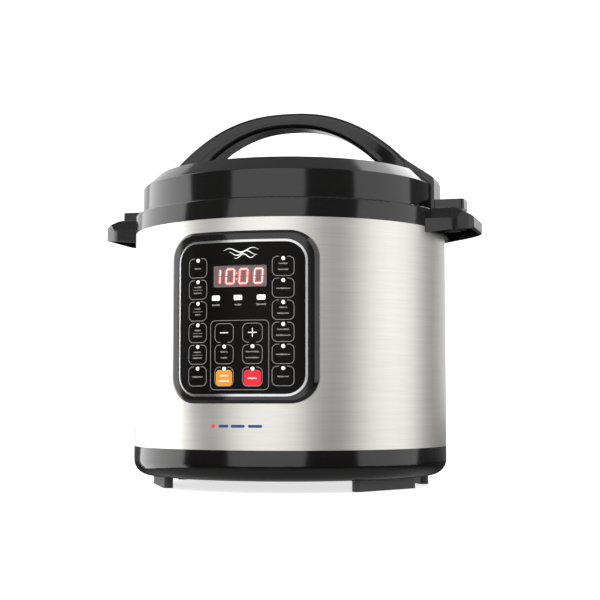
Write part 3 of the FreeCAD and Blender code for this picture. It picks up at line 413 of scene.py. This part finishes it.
def merged(node):
    # the node's triangles with shared corners joined and slivers dropped
    mesh = cadNodes[node].data
    spots = np.empty(len(mesh.vertices) * 3)
    mesh.vertices.foreach_get("co", spots)
    corners = np.empty(len(mesh.loops), np.int32)
    mesh.loops.foreach_get("vertex_index", corners)
    spots, corners = spots.reshape(-1, 3), corners.reshape(-1, 3)
    keys, first, back = np.unique(np.round(spots * 2e6).astype(np.int64), axis=0,
                                  return_index=True, return_inverse=True)
    tris = back.reshape(-1)[corners]
    a, b, c = tris.T
    tris = tris[(a != b) & (b != c) & (c != a)]
    return spots[first], tris


archShape = dict(top=0.323, drop=0.0455, span=0.1055, power=2.35, thickness=0.0175, lean=0.2,
                 fade=(0.085, 0.101))


def leaning(points):
    # the arch's long sides lean inwards below its top: y' = y (1 - lean * depth * end), where
    # depth runs 0..1 below the crown line top - drop * (|x| / span)^power and end fades to the lid
    shape, x = archShape, np.abs(points[:, 0])
    crown = shape["top"] - shape["drop"] * (x / shape["span"]) ** shape["power"]
    depth = np.clip((crown - points[:, 2]) / shape["thickness"], 0.0, 1.0)
    near, far = shape["fade"]
    end = np.clip((far - x) / (far - near), 0.0, 1.0)
    out = points.copy()
    out[:, 1] *= 1.0 - shape["lean"] * depth * end
    return out


reshaped = {"lid_handle": leaning, "lid_handle_grip": leaning}
dressed = {"lid_handle": "handle_plastic", "lid_handle_grip": "handle_plastic"}


def smoothed(node, name, crease=32.0):
    points, tris = merged(node)
    points = reshaped.get(node, np.copy)(points)
    dress = finishes[dressed.get(node, slotOf[node])]
    return buildPiece(name, [(points, tris, 0)], [dress], bodyOf[node],
                      [node], crease)


# shapes that are whole nodes with smooth shading
for node, name in {
        "steel_shell": "shell_skin", "collar_ring": "collar_moulding", "base_tray": "base_moulding",
        "lid_cover": "lid_moulding", "lid_handle": "arch_handle", "lid_handle_grip": "arch_grip",
        "handle_left": "side_handle_left", "handle_right": "side_handle_right",
        "panel_bezel": "bezel_moulding", "panel_trim": "bright_line", "panel_face": "panel_film",
        "display_window": "window_pane", "indicator_lights": "light_lenses", "feet": "foot_bars",
        "condensation_cup": "drip_cup", "cup_bracket": "cup_hanger", "power_inlet": "mains_socket",
        "pressure_valve": "valve_knob", "float_valve": "float_pin", "inner_pot": "cooking_pot",
        "steel_lid": "lid_plate", "sealing_ring": "lid_seal", "ring_rack": "seal_rack",
        "lock_pot": "outer_pot", "heating_plate": "heater_casting", "sensor_cap": "sensor_button",
        "sensor_spring": "sensor_coil", "inlet_pins": "socket_pins", "lid_screws": "lid_fixings",
        "case_screws": "case_fixings", "anti_block_shield": "vent_shield",
        "valve_stem": "vent_stem"}.items():
    piece = smoothed(node, name)
    if node == "sensor_spring":
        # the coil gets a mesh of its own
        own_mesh(piece)
print("smooth shapes made")

# panel prints, as ribbons and patches laid on the curved panel
panel = dict(radius=0.139, lift=0.00002, keyProud=0.0003)


def onPanel(flat, lift):
    # (arc length, height) rows wrapped onto a cylinder about Z, a given lift outside the panel
    r = panel["radius"] + lift
    a = flat[..., 0] / panel["radius"]
    return np.stack([r * np.sin(a), -r * np.cos(a), flat[..., 1]], -1)


def evenly(path, step, closed):
    # the same path with points at an even spacing
    if closed:
        path = np.concatenate([path, path[:1]])
    run = np.concatenate([[0], np.cumsum(np.hypot(*np.diff(path, axis=0).T))])
    count = max(4, int(math.ceil(run[-1] / step)))
    at = np.linspace(0, run[-1], count + 1)
    even = np.stack([np.interp(at, run, path[:, 0]), np.interp(at, run, path[:, 1])], -1)
    return even[:-1] if closed else even


def roundedLoop(s, z, width, height, corner, turns=9):
    # closed outline of a rounded rectangle, from its top middle: round each corner centre,
    # (centre + corner * cos a, centre + corner * sin a) over a quarter turn
    quarter = np.linspace(0, math.pi / 2, turns)
    centres = [(1, 1, math.pi / 2, -1), (1, -1, 0, -1), (-1, -1, -math.pi / 2, -1),
               (-1, 1, math.pi, -1)]
    arcs = [np.stack([s + sx * (width / 2 - corner) + corner * np.cos(start + way * quarter),
                      z + sz * (height / 2 - corner) + corner * np.sin(start + way * quarter)], -1)
            for sx, sz, start, way in centres]
    return np.concatenate([[[s, z + height / 2]]] + arcs)


def gridFaces(rows, columns, closed):
    # quads between neighbouring rows of a grid
    i, j = np.meshgrid(np.arange(rows - 1), np.arange(columns if closed else columns - 1),
                       indexing="ij")
    k = (j + 1) % columns
    return np.stack([i * columns + j, i * columns + k, (i + 1) * columns + k,
                     (i + 1) * columns + j], -1).reshape(-1, 4)


def facingOut(points, faces, along=None):
    # turns over the faces that look at the axis, or against a given direction
    a, b, c = points[faces[:, 0]], points[faces[:, 1]], points[faces[:, 2]]
    normal = np.cross(b - a, c - a)
    out = a * (1, 1, 0) if along is None else np.array(along, float)[None]
    flip = (normal * out).sum(1) < 0
    faces[flip] = faces[flip][:, ::-1]
    return faces


def ribbon(path, width, lift, mark, closed=False, step=0.0009, place=onPanel, along=None):
    # a band of constant width along a flat path: the path moved half a width to each side
    path = evenly(np.asarray(path, float), step, closed)
    if closed:
        along2 = np.roll(path, -1, 0) - np.roll(path, 1, 0)
    else:
        along2 = np.gradient(path, axis=0)
    across = np.stack([-along2[:, 1], along2[:, 0]], -1)
    across /= np.linalg.norm(across, axis=1)[:, None]
    w = np.asarray(width, float)
    if w.ndim:
        w = np.interp(np.linspace(0, 1, len(path)), np.linspace(0, 1, len(w)), w)[:, None]
    points = place(np.stack([path - across * w / 2, path + across * w / 2]), lift).reshape(-1, 3)
    return points, facingOut(points, gridFaces(2, len(path), closed), along), mark


def patch(loop, lift, mark, step=0.0009, rings=8, place=onPanel, along=None):
    # a filled outline: the loop shrunk towards its middle in even steps, closed by a fan
    loop = evenly(np.asarray(loop, float), step, True)
    middle, count = (loop.max(0) + loop.min(0)) / 2, len(loop)
    share = np.linspace(1, 0.12, rings)[:, None, None]
    flat = np.concatenate([(middle + (loop - middle) * share).reshape(-1, 2), middle[None]])
    points = place(flat, lift)
    last = (rings - 1) * count
    j = np.arange(count)
    fan = np.stack([last + j, last + (j + 1) % count, np.full(count, rings * count)], -1)
    return points, [*facingOut(points, gridFaces(rings, count, True), along),
                    *facingOut(points, fan, along)], mark


def bar(s, z, width, height, lift, mark):
    return patch(roundedLoop(s, z, width, height, min(width, height) * 0.3, 4), lift, mark,
                 rings=3)


def scribble(s, z, width, lift, mark, height=0.0012, line=0.00034):
    # stands in for a word: a close sine wave whose swing changes slowly along its length
    t = np.linspace(0, 1, int(width / 0.00012))
    swing = height / 2 * (0.78 + 0.22 * np.sin(t * 7.1 + width * 5000))
    wave = swing * np.sin(t * width / 0.00105 * 2 * math.pi)
    path = np.stack([s + width * (t - 0.5), z + wave], -1)
    return ribbon(path, line, lift, mark, step=0.00022)


inks = {
    "ink_grey": printFinish("ink_grey", dict(colours=((0.16, 0.155, 0.15), (0.24, 0.235, 0.23)))),
    "ink_label": printFinish("ink_label", dict(colours=((0.2, 0.195, 0.19), (0.28, 0.275, 0.27)))),
    # the white, orange and red inks below glow: painted light on the print
    "ink_white": printFinish("ink_white", dict(
        colours=((0.66, 0.66, 0.66), (0.78, 0.78, 0.78)), glow=0.15)),
    "ink_orange": printFinish("ink_orange", dict(
        colours=((0.56, 0.165, 0.008), (0.64, 0.2, 0.012)), glow=0.16)),
    "ink_red": printFinish("ink_red", dict(
        colours=((0.46, 0.002, 0.012), (0.54, 0.004, 0.018)), glow=0.14)),
    "ink_signal": printFinish("ink_signal", dict(colours=((0.6, 0.02, 0.03), (0.7, 0.03, 0.04)))),
    "ink_navy": printFinish("ink_navy", dict(colours=((0.008, 0.03, 0.12), (0.014, 0.045, 0.17)))),
}
inkOrder = ["panel_black", "ink_grey", "ink_label", "ink_white", "ink_orange", "ink_red"]
keyDress = [finishes["panel_black"]] + [inks[n] for n in inkOrder[1:]]

# keys: the cap of each with its outline, label lines and fill printed on
keys = dict(sideS=0.0355, top=0.1759, pitch=0.017, midS=0.0116, midZ=(0.1244, 0.1078, 0.0905),
            side=(0.0178, 0.0159), mid=(0.0165, 0.0155), corner=0.0043, inset=0.00045,
            line=0.00042, opening=0.0056, fill=(0.0138, 0.0122), fillCorner=0.0028,
            light=0.0061, lightClear=0.0017)


def keyPiece(node, s, z, size, lines, opening="top", fill=None, sign=None, divider=False):
    width, height = size[0] - 2 * keys["inset"], size[1] - 2 * keys["inset"]
    lift = panel["keyProud"] + panel["lift"]
    points, tris = merged(node)
    blocks = [(points, tris, 0)]
    loop = roundedLoop(s, z, width, height, keys["corner"] - keys["inset"])
    if opening == "bottom":
        loop = np.stack([loop[:, 0], 2 * z - loop[:, 1]], -1)
    whole = evenly(np.concatenate([loop, loop[:1]]), 0.0002, False)
    run = np.linspace(0, 1, len(whole)) * (len(whole) - 1) * 0.0002
    total = run[-1]
    kept = whole[(run > keys["opening"] / 2) & (run < total - keys["opening"] / 2)]
    blocks.append(ribbon(kept, keys["line"], lift, 1, step=0.0006))
    if fill:
        # kept clear of the light above it: z <= light - sqrt(clear^2 - (s - s0)^2)
        edge = evenly(roundedLoop(s, z - 0.0009, *keys["fill"], keys["fillCorner"]), 0.0002, True)
        room = keys["lightClear"] ** 2 - (edge[:, 0] - s) ** 2
        dip = z + keys["light"] - np.sqrt(np.maximum(room, 0.0))
        edge[:, 1] = np.where(room > 0, np.minimum(edge[:, 1], dip), edge[:, 1])
        blocks.append(patch(edge, lift, fill, step=0.0003))
    rise = -0.0013 if fill else -0.0004
    for i, wide in enumerate(lines):
        spread = 0.0 if len(lines) == 1 else 0.0021 if fill else 0.0023
        blocks.append(scribble(s, z + rise + spread * (1 - 2 * i), wide, lift + 0.00003,
                               3 if fill else 2))
    if divider:
        blocks.append(bar(s, z + rise, width * 0.6, 0.0003, lift + 0.00003, 1))
    for flat in {"minus": [0], "plus": [0, 1]}.get(sign, []):
        long, thin = (0.0074, 0.0006)
        blocks.append(bar(s, z + 0.0002, *((thin, long) if flat else (long, thin)),
                          lift + 0.00003 * (flat + 1), 3))
    return buildPiece(node + "_cap", blocks, keyDress, bodyOf[node], [node])


leftLines = [(0.0062,), (0.0068, 0.0074), (0.0056, 0.005), (0.006, 0.0086),
             (0.0072, 0.0086), (0.0098,)]
rightLines = [(0.0068, 0.0078), (0.011,), (0.0062, 0.0088), (0.0092, 0.0112), (0.011,), (0.0088,)]
for row in range(6):
    z = keys["top"] - row * keys["pitch"]
    keyPiece("key_left_%d" % (row + 1), -keys["sideS"], z, keys["side"], leftLines[row],
             divider=0 < row < 5)
    keyPiece("key_right_%d" % (row + 1), keys["sideS"], z, keys["side"], rightLines[row])
mid, (high, middle, low) = keys["midS"], keys["midZ"]
keyPiece("key_minus", -mid, high, keys["mid"], (), "bottom", sign="minus")
keyPiece("key_plus", mid, high, keys["mid"], (), "bottom", sign="plus")
keyPiece("key_delay", -mid, middle, keys["mid"], (0.0062, 0.0058))
keyPiece("key_pressure", mid, middle, keys["mid"], (0.0104, 0.0108))
keyPiece("key_warm", -mid, low, keys["mid"], (0.0074, 0.0086), fill=4)
keyPiece("key_start", mid, low, keys["mid"], (0.0072,), fill=5)
print("keys printed")

# prints on the panel's face
face = dict(boxS=(-0.0235, 0.0244), boxZ=(0.0804, 0.1341), boxCorner=0.0035, boxLine=0.0004,
            levels=(-0.0189, -0.0002, 0.0184), labelZ=0.1463, waveZ=0.1862, waveS=(-0.0125, 0.0165))
blocks = []
low, high = face["boxS"]
bottom, top = face["boxZ"]
blocks.append(ribbon(roundedLoop((low + high) / 2, (bottom + top) / 2, high - low, top - bottom,
                                 face["boxCorner"]), face["boxLine"], panel["lift"], 0,
                     closed=True))
for s, wide in zip(face["levels"], (0.0066, 0.0058, 0.0078)):
    blocks.append(scribble(s, face["labelZ"], wide, panel["lift"], 1, height=0.0016))
# three rising wisps of steam, each a sine wave whose width swells in its middle
for i, (shift, reach) in enumerate(((0.0, 1.0), (0.0015, 0.8), (-0.0012, 0.62))):
    t = np.linspace(0, 1, 90)
    a, b = face["waveS"]
    s = a + (b - a) * t * reach + 0.0045 * i
    z = face["waveZ"] + 0.0016 * np.sin(t * 9.5 + i * 1.9) + (1 - i) * 0.0023 + 0.0006 * t
    blocks.append(ribbon(np.stack([s, z], -1), (0.00015, 0.0006, 0.0008, 0.0006, 0.00015),
                         panel["lift"], 2, step=0.0004))
buildPiece("panel_prints", blocks, [inks["ink_grey"], inks["ink_label"], inks["ink_white"]],
           "cooker", weigh=False)

# display: a smoked backing with lit seven-part digits just in front of the module; the backing and
# its grey outline glow too, as painted light
moduleLow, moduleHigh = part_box("display_module")
display = dict(y=moduleLow.y - 0.00006, z=0.1688, height=0.0112, width=0.0065, slant=0.06,
               digits=((-0.0197, "bc"), (-0.008, "abcdef"), (0.0029, "abcdef"), (0.0152, "abcdef")),
               colonS=-0.0027, halo=0.0029, core=0.0011, edge=0.0011)


def onModule(flat, lift):
    # flat rows stood up in front of the module
    return np.stack([flat[..., 0], np.full(flat.shape[:-1], display["y"] - lift), flat[..., 1]], -1)


def digitStrokes(s, lit):
    w, h = display["width"] / 2, display["height"] / 2
    ends = {"a": ((-w, h), (w, h)), "b": ((w, h), (w, 0)), "c": ((w, 0), (w, -h)),
            "d": ((w, -h), (-w, -h)), "e": ((-w, -h), (-w, 0)), "f": ((-w, 0), (-w, h)),
            "g": ((-w, 0), (w, 0))}
    strokes = []
    for part in lit:
        one, two = (np.array(p) for p in ends[part])
        way = (two - one) / np.linalg.norm(two - one) * 0.0003
        line = np.stack([one + way, two - way])
        line[:, 0] += s + line[:, 1] * display["slant"]
        line[:, 1] += display["z"]
        strokes.append(line)
    return strokes


front = (0, -1, 0)
blocks = [ribbon([(moduleLow.x + 0.0002, display["z"]), (moduleHigh.x - 0.0002, display["z"])],
                 0.0161, 0.0, 0, place=onModule, along=front)]
# the grey outline round the display glows: painted light, not light from the digits
blocks.append(ribbon(roundedLoop(0, display["z"], 0.0425, 0.0155, 0.0004), display["edge"],
                     0.00004, 3, closed=True, place=onModule, along=front))
for s, lit in display["digits"]:
    for line in digitStrokes(s, lit):
        blocks.append(ribbon(line, display["halo"], 0.00008, 1, place=onModule, along=front))
        blocks.append(ribbon(line, display["core"], 0.00016, 2, place=onModule, along=front))
for rise in (-0.0021, 0.0023):
    for size, lift, mark in ((0.0019, 0.00008, 1), (0.001, 0.00016, 2)):
        dot = roundedLoop(display["colonS"], display["z"] + rise, size, size, size * 0.4, 4)
        blocks.append(patch(dot, lift, mark, rings=3, place=onModule, along=front))
glows = [
    # the backing's and the outline's glow is painted light; only the halo and the core stand for
    # the digits' own light
    glowFinish("display_backing_painted_glow", dict(colours=((0.11, 0.065, 0.06), (0.15, 0.09, 0.082)),
                                       glow=1.0, mottle=300.0)),
    glowFinish("digit_halo", dict(colours=((0.5, 0.045, 0.055), (0.62, 0.07, 0.075)), glow=1.0)),
    glowFinish("digit_core", dict(colours=((1.0, 0.55, 0.5), (1.0, 0.74, 0.68)), glow=1.2)),
    glowFinish("display_edge_painted_glow", dict(colours=((0.1, 0.1, 0.1), (0.13, 0.13, 0.13)), glow=1.0)),
]
buildPiece("display_digits", blocks, glows, "cooker", weigh=False)

# a plain two-colour mark on the steel under the panel
mark = dict(z=0.0522, radius=0.135, red=(-0.0225, 0.0034),
            bars=((-0.0135, 0.0085), (-0.0015, 0.0115), (0.0125, 0.0115)),
            height=0.0022)


def onShell(flat, lift):
    a = flat[..., 0] / mark["radius"]
    r = mark["radius"] + lift
    return np.stack([r * np.sin(a), -r * np.cos(a), flat[..., 1]], -1)


redS, redSide = mark["red"]
blocks = [patch(roundedLoop(redS, mark["z"], redSide, redSide, 0.0015), 0.00003, 0,
                place=onShell, rings=4)]
for s, wide in mark["bars"]:
    blocks.append(patch(roundedLoop(s, mark["z"], wide, mark["height"], 0.001), 0.00003, 1,
                             place=onShell, rings=4))
buildPiece("shell_mark", blocks, [inks["ink_signal"], inks["ink_navy"]], "cooker",
           weigh=False)
print("panel, display and mark printed")

# floor and bowl-shaped backdrop
stageSizes = dict(floor=3.4, curve=0.9, wall=4.6, sides=96)


def turnedSheet(profile, sides):
    # (radius, height) rows turned about Z
    a = np.linspace(0, 2 * math.pi, sides, endpoint=False)
    r, z = profile[:, 0][:, None], profile[:, 1][:, None]
    return np.stack([r * np.cos(a), r * np.sin(a), z + 0 * a], -1).reshape(-1, 3)


def backdropFinish():
    f = Finish("backdrop_paper")
    fibre = f.noise(180.0, 3.0)
    return f.surface(**{
        "Base Color": f.mix(fibre, (0.5, 0.5, 0.5), (0.54, 0.54, 0.54)),
        "Roughness": 0.9, "Specular IOR Level": 0.1,
        "Emission Color": (1, 1, 1, 1), "Emission Strength": 0.72})


bend = np.linspace(0, math.pi / 2, 16)
profile = np.concatenate([
    np.stack([np.linspace(0.001, stageSizes["floor"], 20), np.zeros(20)], -1),
    np.stack([stageSizes["floor"] + stageSizes["curve"] * np.sin(bend[1:]),
              stageSizes["curve"] * (1 - np.cos(bend[1:]))], -1),
    [[stageSizes["floor"] + stageSizes["curve"], stageSizes["wall"]]]])
sheet = bpy.data.meshes.new("backdrop")
points = turnedSheet(profile, stageSizes["sides"])
polys = gridFaces(len(profile), stageSizes["sides"], True)
sheet.from_pydata(points.tolist(), [], polys.tolist())
sheet.polygons.foreach_set("use_smooth", np.ones(len(polys), bool))
sheet.materials.append(backdropFinish())
backdrop = bpy.data.objects.new("backdrop", sheet)
bpy.context.scene.collection.objects.link(backdrop)
backdrop.visible_glossy = False

# soft studio light: tall boxes round the object, angles counted from the camera's side
boxes = {
    "front_box": dict(angles=(-44.0, 10.7), radiance=1.47, low=-0.55, high=3.6),
    "right_box": dict(angles=(48.0, 102.0), radiance=1.42, low=-0.55, high=3.6),
    "left_box": dict(angles=(-139.0, -80.0), radiance=2.8, low=-1.2, high=3.6),
    "back_box": dict(angles=(133.0, 221.0), radiance=0.95, low=0.0, high=3.4),
    "rim_box": dict(angles=(136.0, 168.0), radiance=1.8, low=1.2, high=5.2),
}
boxDistance = 3.0


def softBox(name, look):
    # a flat upright panel that spans the two angles and faces the axis; a panel of area A
    # and radiance L gives out pi * L * A watts
    one, two = look["angles"]
    a, d = math.radians(viewpoint["azimuth"] + (one + two) / 2), boxDistance
    width, height = 2 * d * math.tan(math.radians(two - one) / 2), look["high"] - look["low"]
    data = bpy.data.lights.new(name, "AREA")
    data.shape, data.size, data.size_y = "RECTANGLE", width, height
    data.energy = look["radiance"] * width * height * math.pi
    light = bpy.data.objects.new(name, data)
    light.location = (d * math.sin(a), -d * math.cos(a), (look["high"] + look["low"]) / 2)
    light.rotation_euler = (math.pi / 2, 0, a)
    light.visible_camera = False
    bpy.context.scene.collection.objects.link(light)


for name, look in boxes.items():
    softBox(name, look)

# the room: dim at eye level, a little lighter below and brighter overhead
room = Finish("room", "worlds")
up = room.node("ShaderNodeSeparateXYZ", inputs={0: room.node("ShaderNodeTexCoord")}, output=2)
glow = room.ramp(up * 0.5 + 0.5, [(0.22, 0.4), (0.36, 0.05), (0.45, 0.05), (0.49, 0.18),
                            (0.62, 0.18), (0.97, 0.4)])
sky = room.node("ShaderNodeBackground", inputs={"Color": glow, "Strength": 1.0})
room.node("ShaderNodeOutputWorld", inputs={"Surface": sky})
bpy.context.scene.world = room.material
print("stage and lights set")
